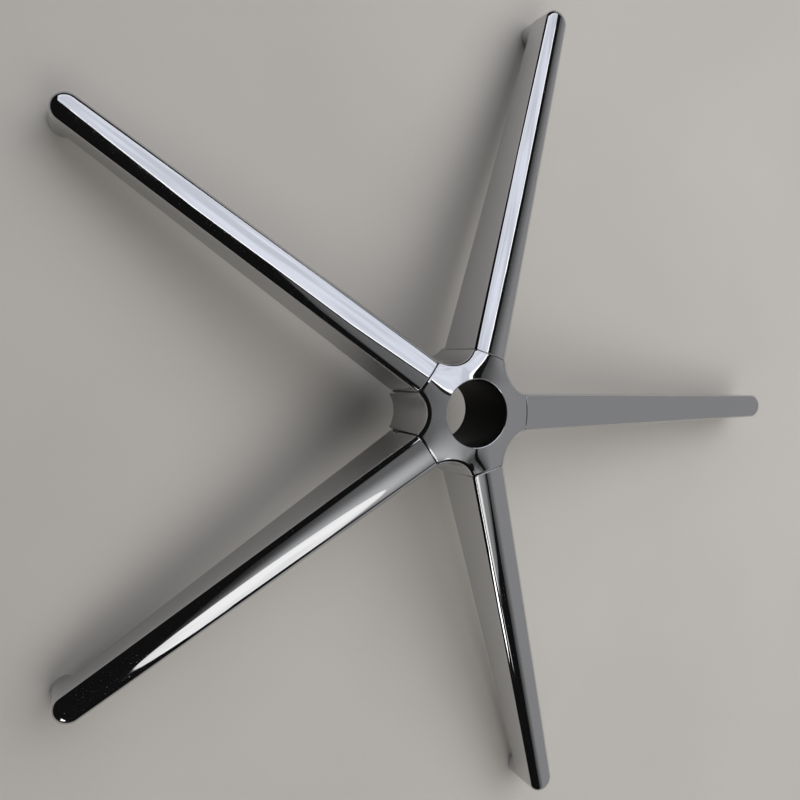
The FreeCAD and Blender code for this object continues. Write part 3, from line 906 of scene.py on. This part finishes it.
@dataclass
class Hub:
    """The cast hub: its own skin of fine facets over the underside of the solid."""

    node: str = "hub"
    form: HubForm = HubForm()
    finish: CastMetal = HubMetal("hub_polish")
    arc_steps: int = 12
    rim_steps: int = 6
    wall_steps: int = 8
    seam_steps: int = 40
    top_shares: tuple[int, int, float] = (10, 30, 0.925)
    side_shares: tuple[int, int, float] = (10, 34, 0.92)
    top_depth: float = 2.7 * MM
    flat_play: float = 0.02 * MM
    round_play: float = 0.1 * MM
    level_normal: float = 0.5

    def is_skin(self, corners: list[Vector], normal: Vector) -> bool:
        """Whether a face of the solid belongs to the outer skin.

        Args:
            corners: The face's corners.
            normal: The face's normal.

        Returns:
            True on the top, its rounded edges, the hollows and the seam faces.
        """
        form = self.form
        fall = math.tan(form.slope)
        radii = [math.hypot(point.x, point.y) for point in corners]
        high = all(
            point.z > form.rim_height - fall * (radius - form.rim_radius) - self.top_depth
            and radius > form.rim_radius - self.round_play
            for point, radius in zip(corners, radii)
        )
        if high:
            return True
        for number in range(ARM_COUNT):
            turn = STEP_ANGLE * number
            outward, axis = toward(turn), toward(turn + HALF_ANGLE)
            if all(abs(point.dot(outward) - form.seam) < self.flat_play for point in corners):
                return True
            gaps = []
            for point in corners:
                centre, radius = form.hollow(point.z)
                gaps.append((Vector((point.x, point.y, 0.0)) - axis * centre).length - radius)
            if abs(normal.z) < self.level_normal and all(abs(gap) < self.round_play for gap in gaps):
                return True
        return False

    def top_rows(self, edges: Rows) -> Rows:
        """Rows of the top of one hollow's sector, from the bore's rim to its outer bounds.

        Args:
            edges: The hollow's rounded edge, one list for each step along it.

        Returns:
            The rows.
        """
        form = self.form
        bound = [HALF_SPIN @ edge[0][0] for edge in edges]
        first, last = toward(0.0) * form.seam, toward(STEP_ANGLE) * form.seam
        steps = self.seam_steps
        before = [first.lerp(bound[0], step / steps) for step in range(steps)]
        after = [bound[-1].lerp(last, step / steps) for step in range(1, steps + 1)]
        bound = before + bound + after
        start = form.rim(self.rim_steps)[0][0].x
        rows = []
        for share in closing(*self.top_shares):
            row = []
            for place in bound:
                turn = math.atan2(place.y, place.x)
                reach = math.hypot(place.x, place.y)
                radius = start + (reach - start) * share
                row.append(form.eased(form.top(radius * math.cos(turn), radius * math.sin(turn))))
            rows.append(row)
        return rows

    def sector(self) -> list[Rows]:
        """Patches of the skin between the centre lines of arm 1 and arm 2.

        Returns:
            Patches as rows of corners.
        """
        form = self.form
        side = closing(*self.side_shares)
        shares = [-share for share in reversed(side[1:])] + side
        edges = [form.edge(share, self.arc_steps) for share in shares]
        top = self.top_rows(edges)
        rim = []
        for spot, facing in form.rim(self.rim_steps):
            row = []
            for place, _ in top[0]:
                out = toward(math.atan2(place.y, place.x))
                row.append((
                    out * spot.x + Vector((0.0, 0.0, spot.y)),
                    (out * facing.x + Vector((0.0, 0.0, facing.y))).normalized(),
                ))
            rim.append(row)
        walls = []
        for share, edge in zip(shares, edges):
            foot, facing = edge[-1]
            wall = list(edge)
            for step in range(1, self.wall_steps + 1):
                height = foot.z + (form.skirt - foot.z) * step / self.wall_steps
                place, away = form.beside(share, height, 0.0)
                wall.append((place, Vector((-away.x, -away.y, facing.z)).normalized()))
            walls.append([form.eased(corner) for corner in moved([wall], HALF_SPIN)[0]])
        walls = [list(row) for row in zip(*walls)]
        return [rim[::-1], top, walls]

    def seam_cap(self, patches: list[Rows]) -> list[Corner]:
        """The flat seam face of arm 1, bounded by the skin's first points.

        Args:
            patches: The patches of the sector.

        Returns:
            Its corners.
        """
        _, top, walls = patches
        half = [top[-1][step][0] for step in range(self.seam_steps)] + [row[0][0] for row in walls]
        half = [Vector((self.form.seam, abs(point.y), point.z)) for point in half]
        other = [Vector((point.x, -point.y, point.z)) for point in reversed(half[1:])]
        outward = Vector((1.0, 0.0, 0.0))
        return [(point, outward) for point in (half + other)[::-1]]

    def build(self) -> list[bpy.types.Object]:
        """Build the hub's piece.

        Returns:
            Its pieces.
        """
        skin = Skin()
        skin.keep(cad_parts[self.node], lambda corners, normal: not self.is_skin(corners, normal))
        patches = self.sector()
        cap = self.seam_cap(patches)
        for number in range(ARM_COUNT):
            spin = Matrix.Rotation(STEP_ANGLE * number, 3, "Z")
            for patch in patches:
                skin.grid(moved(patch, spin))
            skin.face(moved([cap], spin)[0])
        piece = skin.build("hub_skin")
        dress(piece, self.finish.material())
        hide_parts(self.node)
        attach(piece, "root")
        return [piece]


@dataclass(frozen=True)
class ArmForm:
    """Form of an arm's outer skin, for the arm that runs along +X."""

    start: float = 45.35 * MM
    seam: float = SEAM
    crest: float = 59.44 * MM
    slope: float = SLOPE
    crown_radius: float = CROWN_RADIUS
    root: float = 41.7 * MM
    root_half_width: float = 14.0 * MM
    tip: float = 341.4 * MM
    tip_radius: float = 10.25 * MM
    draft: float = math.tan(math.radians(0.3))
    low_start: float = 8.5 * MM
    low_fall: float = 30.8 / 296.2
    edge_round: Rounding = Rounding(6.6 * MM, 2.0 * MM)
    edge_reach: float = 4.6 * MM
    probe: float = 0.4
    seam_round: float = 0.6 * MM
    arc_steps: int = 12
    wall_steps: int = 6
    tip_steps: int = 16
    half_crown_steps: int = 12
    long_steps: tuple[int, int] = (7, 60)

    @property
    def flare(self) -> float:
        """Angle between a flank and the arm's centre line, in plan."""
        reach = math.hypot(self.tip - self.root, self.root_half_width)
        return math.asin(self.root_half_width / reach) - math.asin(self.tip_radius / reach)

    def height(self, x: float, y: float) -> float:
        """Height of the crown over a point."""
        drop = self.crown_radius - math.sqrt(self.crown_radius ** 2 - y ** 2)
        return self.crest - math.tan(self.slope) * (x - self.seam) - drop / math.cos(self.slope)

    def lower(self, x: float) -> float:
        """Height of the lower edge at a distance."""
        return self.low_start - self.low_fall * (x - self.seam)

    def top(self, x: float, y: float) -> Corner:
        """Point and normal of the crown over a place."""
        side = y / math.sqrt(self.crown_radius ** 2 - y ** 2) / math.cos(self.slope)
        return Vector((x, y, self.height(x, y))), Vector((math.tan(self.slope), side, 1.0)).normalized()

    def outline(self) -> list[Corner]:
        """Right half of the plan outline at the crest's height, with the directions outward.

        Returns:
            Places from the seam to the far end of the tip.
        """
        flare = self.flare
        out = Vector((math.sin(flare), -math.cos(flare), 0.0))
        last = Vector((self.tip, 0.0, 0.0)) + out * self.tip_radius
        first = Vector((self.start, last.y + (self.start - last.x) * math.tan(flare), 0.0))
        near = 2 * self.seam_round / (last.x - self.start)
        shares = [1 - share for share in reversed(closing(*self.long_steps, 1 - near))]
        places = [(first.lerp(last, share), out) for share in shares]
        bend = math.pi / 2 - flare
        for step in range(1, self.tip_steps + 1):
            out = toward(-bend * (1 - step / self.tip_steps))
            places.append((Vector((self.tip, 0.0, 0.0)) + out * self.tip_radius, out))
        return places

    def side(self, place: Vector, out: Vector) -> list[Corner]:
        """The skin at one place of the outline, from the crown down to the lower edge.

        Args:
            place: Place on the plan outline.
            out: Direction outward.

        Returns:
            Its points with their normals.
        """
        def outer(height: float) -> float:
            """Distance of the flank outside the plan outline at a height."""
            return (self.crest - height) * self.draft

        step = self.probe * self.edge_reach
        near, far = place - out * step, place - out * 3 * step
        rise = (self.height(far.x, far.y) - self.height(near.x, near.y)) / (2 * step)
        base = self.height(near.x, near.y) - rise * step
        corner = Vector((-outer(base), base - rise * outer(base)))
        high = Vector((-rise, 1.0)).normalized()
        low = Vector((-1.0, self.draft)).normalized()
        arc = self.edge_round.points(high, low, corner, self.arc_steps)
        along = Vector((-out.y, out.x, 0.0))
        inner = place - out * arc[0][0].x
        tilt = self.top(inner.x, inner.y)[1].dot(along)
        points = []
        for index, (spot, facing) in enumerate(arc):
            point = place - out * spot.x + Vector((0.0, 0.0, spot.y))
            fade = tilt * (1 - index / self.arc_steps)
            normal = -out * facing.x + Vector((0.0, 0.0, facing.y)) + along * fade
            points.append((point, normal.normalized()))
        foot = points[-1][0].z
        bottom = self.lower(place.x)
        for index in range(1, self.wall_steps + 1):
            height = foot + (bottom - foot) * index / self.wall_steps
            point = place + out * outer(height) + Vector((0.0, 0.0, height))
            points.append((point, points[-1][1]))
        return points

    def eased(self, corner: Corner) -> Corner:
        """Round a corner point of the skin over towards the hub."""
        point, normal = corner
        past = self.start + self.seam_round - point.x
        if past <= 0:
            return corner
        sine = min(past / self.seam_round, 1.0)
        cosine = math.sqrt(1 - sine * sine)
        rounded = point - normal * self.seam_round * (1 - cosine)
        return rounded, (normal * cosine - Vector((sine, 0.0, 0.0))).normalized()

    def patches(self) -> tuple[Rows, Rows]:
        """The skin's two patches.

        Returns:
            The crown, and the strip of rounded edge and flank that goes once round the arm.
        """
        right = [self.side(place, out) for place, out in self.outline()]
        flip = Vector((1.0, -1.0, 1.0))
        left = [[(point * flip, normal * flip) for point, normal in row] for row in right[-2::-1]]
        shares = [step / self.half_crown_steps - 1 for step in range(2 * self.half_crown_steps + 1)]
        crown = []
        for row in right:
            edge = row[0][0]
            crown.append([self.eased(self.top(edge.x, -edge.y * share)) for share in shares])
        strip = [[self.eased(corner) for corner in reversed(row)] for row in right + left]
        return crown, strip


@dataclass
class Arms:
    """The five separate hollow arms, each with a skin of fine facets over the solid's underside."""

    form: ArmForm = ArmForm()
    play: float = 0.45 * MM
    seats: tuple[tuple[int, int], ...] = ((0, 0), (0, 1), (1, 0), (1, 0), (0, -1))
    end_play: float = 0.02 * MM
    foot_play: float = 0.1 * MM
    flank_play: float = 0.3 * MM
    crown_depth: float = 3.2 * MM

    def is_skin(self, corners: list[Vector]) -> bool:
        """Whether a face of an arm's solid belongs to the outer skin.

        Args:
            corners: The face's corners, for the arm that runs along +X.

        Returns:
            True on the crown, its rounded edges, the flanks and the end face.
        """
        form = self.form
        if all(abs(point.x - form.start) < self.end_play for point in corners):
            return True
        if any(point.z < form.lower(point.x) - self.foot_play for point in corners):
            return False
        outer = []
        for point in corners:
            if point.x > form.tip:
                gap = form.tip_radius - math.hypot(point.x - form.tip, point.y)
            else:
                half = form.tip_radius / math.cos(form.flare) + (form.tip - point.x) * math.tan(form.flare)
                gap = (half - abs(point.y)) * math.cos(form.flare)
            near_top = point.z > form.height(point.x, point.y) - self.crown_depth
            outer.append(gap + (form.crest - point.z) * form.draft < self.flank_play or near_top)
        return all(outer)

    def build(self) -> list[bpy.types.Object]:
        """Build the arms' pieces.

        Returns:
            Their pieces.
        """
        crown, strip = self.form.patches()
        facing = Vector((-1.0, 0.0, 0.0))
        ring = [(point, facing) for point, _ in crown[0] + strip[-1][-2::-1] + strip[0][:-1]]
        pieces = []
        for number in range(1, ARM_COUNT + 1):
            outward, left = self.seats[number - 1]
            spin = Matrix.Rotation(STEP_ANGLE * (number - 1), 3, "Z")
            shift = spin @ Vector((outward * self.play, left * self.play, 0.0))
            back = spin.inverted()
            skin = Skin()
            skin.keep(
                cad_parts[f"arm_{number}"],
                lambda corners, normal: not self.is_skin([back @ (point - shift) for point in corners]),
            )
            for patch in (crown, strip):
                skin.grid(moved(patch, spin, shift))
            skin.face(moved([ring], spin, shift)[0])
            piece = skin.build(f"arm_{number}_skin")
            dress(piece, ArmMetal(f"arm_{number}_polish", turn=STEP_ANGLE * (number - 1)).material())
            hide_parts(f"arm_{number}")
            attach(piece, "root")
            pieces.append(piece)
        return pieces


@dataclass
class Screws:
    """The socket screws under the hub's fingers."""

    finish: ScrewSteel = ScrewSteel()

    def build(self) -> list[bpy.types.Object]:
        """Dress the screws.

        Returns:
            Their pieces.
        """
        material = self.finish.material()
        pieces = [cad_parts[f"arm_screws_{number}"] for number in range(1, ARM_COUNT + 1)]
        for piece in pieces:
            dress(piece, material)
        return pieces


@dataclass(frozen=True)
class Panel:
    """A flat glowing panel over the floor, out of the camera's sight."""

    name: str
    outline: Outline
    height: float
    glow: Glow

    def build(self) -> bpy.types.Object:
        """Hang the panel."""
        piece = flat_plate(self.name, self.outline, self.height)
        dress(piece, self.glow.material())
        piece.visible_camera = False
        piece.visible_shadow = False
        piece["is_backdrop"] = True
        return piece


@dataclass(frozen=True)
class SoftLamp:
    """A round soft light that the polish doesn't mirror."""

    name: str
    place: tuple[float, float, float]
    size: float
    power: float
    target: tuple[float, float, float] = (0.1, -0.1, 0.0)

    def build(self) -> bpy.types.Object:
        """Hang the light."""
        light = bpy.data.lights.new(self.name, "AREA")
        light.energy = self.power
        light.shape = "DISK"
        light.size = self.size
        lamp = add_object(self.name, light)
        lamp.location = self.place
        lamp.rotation_euler = (Vector(self.target) - Vector(self.place)).to_track_quat("-Z", "Y").to_euler()
        lamp.visible_glossy = False
        return lamp


@dataclass
class Studio:
    """The pale floor, soft light and what the polish mirrors: lamps, a window, a door and dark walls."""

    floor_height: float
    floor_reach: float = 30.0
    ceiling: float = 1.8
    layer: float = 0.01
    room_gap: float = 0.05
    dark: float = 0.01
    darker: float = 0.008
    sky: Colour = (0.97, 0.98, 1.0, 1.0)
    sky_strength: float = 0.40
    lamp_centre: tuple[float, float] = (-0.02, -1.37)
    lamp_radius: float = 0.51
    lamp_steps: int = 48
    lamp_glow: Glow = Glow("lamp_glow", 1.42, (1.0, 0.995, 0.985), 0.16)
    side_lamp: Outline = (
        (-0.86, -1.80), (-0.80, -2.30), (-0.80, -2.75), (-1.25, -3.40), (-1.9, -3.6), (-1.45, -2.80),
        (-1.06, -2.35), (-0.96, -1.80),
    )
    side_strength: float = 4.0
    far_lamp: Outline = ((0.02, -1.96), (0.16, -1.94), (0.32, -2.15), (0.30, -2.25), (0.08, -2.20))
    far_strength: float = 1.5
    window_edge: Outline = (
        (-0.83, 1.17), (-0.62, 0.66), (-0.35, 0.48), (-0.15, 0.32), (0.27, 0.31), (0.62, 0.46),
        (0.95, 0.72), (1.25, 1.02), (1.58, 1.46), (1.80, 1.90), (1.98, 2.38),
    )
    window_back: Outline = ((2.3, 3.6), (-2.1, 3.6), (-1.3, 2.0))
    window_glow: Glow = Glow("window_glow", 1.32, (0.87, 0.90, 1.0), 0.24)
    sill_back: Outline = (
        (1.94, 2.40), (1.765, 1.92), (1.55, 1.485), (1.22, 1.045), (0.92, 0.745), (0.60, 0.49),
        (0.265, 0.335), (-0.145, 0.345), (-0.34, 0.51), (-0.60, 0.685), (-0.80, 1.18),
    )
    sill_strength: float = 2.4
    window_head: Outline = ((-2.0, 3.4), (2.25, 3.4), (2.3, 3.6), (-2.1, 3.6))
    window_frame: Outline = (
        (-0.66, 0.60), (-0.38, 0.42), (-0.17, 0.27), (0.29, 0.26), (0.72, 0.40), (1.12, 0.66),
        (1.50, 0.98), (1.88, 1.43), (2.18, 1.93), (2.42, 2.40), (2.9, 3.6), (2.3, 3.6), (-0.5, 1.6),
    )
    dark_far: Outline = ((-40.0, 3.6), (2.9, 3.6), (16.0, 40.0), (-40.0, 40.0))
    dark_left: Outline = (
        (-0.60, 0.68), (-0.83, 1.17), (-1.3, 2.0), (-2.4, 4.2), (-40.0, 4.2), (-40.0, -40.0),
        (0.0, -40.0), (0.0, -1.93), (-0.2, -1.90), (-0.46, -1.72), (-0.56, -1.4), (-0.60, -0.9),
        (-0.62, -0.4), (-0.50, -0.12), (-0.44, 0.2), (-0.40, 0.48),
    )
    dark_right: Outline = (
        (0.0, -40.0), (15.0, -40.0), (1.82, -2.8), (1.50, -2.0), (1.30, -1.5), (1.24, -1.2),
        (1.16, -0.98), (1.08, -0.92), (1.10, -1.10), (1.12, -1.30), (1.02, -1.55), (0.80, -1.75),
        (0.42, -1.76), (0.1, -1.90), (0.0, -1.93),
    )
    room: Outline = ((-40.0, -40.0), (40.0, -40.0), (40.0, 40.0), (-40.0, 40.0))
    soft_lamps: tuple[SoftLamp, ...] = (
        SoftLamp("soft_key", (1.05, 0.55, 1.6), 2.2, 19.0),
        SoftLamp("soft_fill", (0.22, -0.75, 1.25), 1.2, 6.0),
    )

    def panels(self) -> list[Panel]:
        """The lamps and the window, the dark walls behind them and the room behind all.

        Returns:
            The panels.
        """
        x, y = self.lamp_centre
        turns = [math.tau * step / self.lamp_steps for step in range(self.lamp_steps)]
        disc = tuple(
            (x + self.lamp_radius * math.cos(turn), y + self.lamp_radius * math.sin(turn)) for turn in turns
        )
        window = self.window_edge + self.window_back
        sill = self.window_edge + self.sill_back
        front, middle = self.ceiling - 2 * self.layer, self.ceiling - self.layer
        back = self.ceiling + 2 * self.layer
        return [
            Panel("lamp_panel", disc, front, self.lamp_glow),
            Panel("side_lamp", self.side_lamp, front, Glow("side_glow", self.side_strength)),
            Panel("far_lamp", self.far_lamp, front, Glow("far_glow", self.far_strength)),
            Panel("window_panel", window, middle, self.window_glow),
            Panel("window_sill", sill, front, Glow("sill_glow", self.sill_strength)),
            Panel("window_head", self.window_head, front, Glow("head_glow", self.sill_strength)),
            Panel("dark_far", self.dark_far, self.ceiling, Glow("dark_glow_far", self.dark)),
            Panel("window_frame", self.window_frame, self.ceiling, Glow("frame_glow", self.dark)),
            Panel("dark_left", self.dark_left, back, Glow("dark_glow_left", self.darker)),
            Panel("dark_right", self.dark_right, back, Glow("dark_glow_right", self.darker)),
            Panel("room", self.room, self.ceiling + self.room_gap, RoomGlow("room_glow", 1.0)),
        ]

    def build(self) -> list[bpy.types.Object]:
        """Lay the floor, hang the panels and set the light.

        Returns:
            The stage pieces.
        """
        reach = self.floor_reach
        corners = ((-reach, -reach), (reach, -reach), (reach, reach), (-reach, reach))
        floor = flat_plate("floor", corners, self.floor_height)
        dress(floor, PaleFloor().material())
        floor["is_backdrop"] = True

        world = bpy.data.worlds.new("room")
        world.use_nodes = True
        background = world.node_tree.nodes["Background"]
        background.inputs["Color"].default_value = self.sky
        background.inputs["Strength"].default_value = self.sky_strength
        bpy.context.scene.world = world

        pieces = [floor] + [panel.build() for panel in self.panels()]
        for lamp in self.soft_lamps:
            lamp.build()
        return pieces


@dataclass
class ViewPoint:
    """The camera at the photograph's viewing angle."""

    location: tuple[float, float, float] = (-0.29286, 0.03303, 0.58149)
    turn_degrees: tuple[float, float, float] = (-2.6268, -23.9517, 0.8143)
    lens: float = 36.419
    sensor: float = 36.0
    nearest: float = 0.01

    def build(self) -> bpy.types.Object:
        """Make the camera and use it.

        Returns:
            The camera.
        """
        data = bpy.data.cameras.new("camera")
        data.lens = self.lens
        data.sensor_width = self.sensor
        data.clip_start = self.nearest
        camera = add_object("camera", data)
        camera.location = self.location
        camera.rotation_euler = Euler([math.radians(angle) for angle in self.turn_degrees], "XYZ")
        bpy.context.scene.camera = camera
        return camera


def main() -> None:
    """Build the dressed base and its studio."""
    logging.basicConfig(level=logging.INFO, format="%(name)s: %(message)s")
    solid_low, solid_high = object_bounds()
    for part in (Hub(), Arms(), Screws(), Studio(floor_height=solid_low.z)):
        for piece in part.build():
            LOG.info("%s: %d faces", piece.name, len(piece.data.polygons))
    camera = ViewPoint().build()
    LOG.info("%s: %.1f mm lens", camera.name, camera.data.lens)
    bpy.context.scene.view_settings.view_transform = "Standard"


if __name__ == "__main__":
    main()
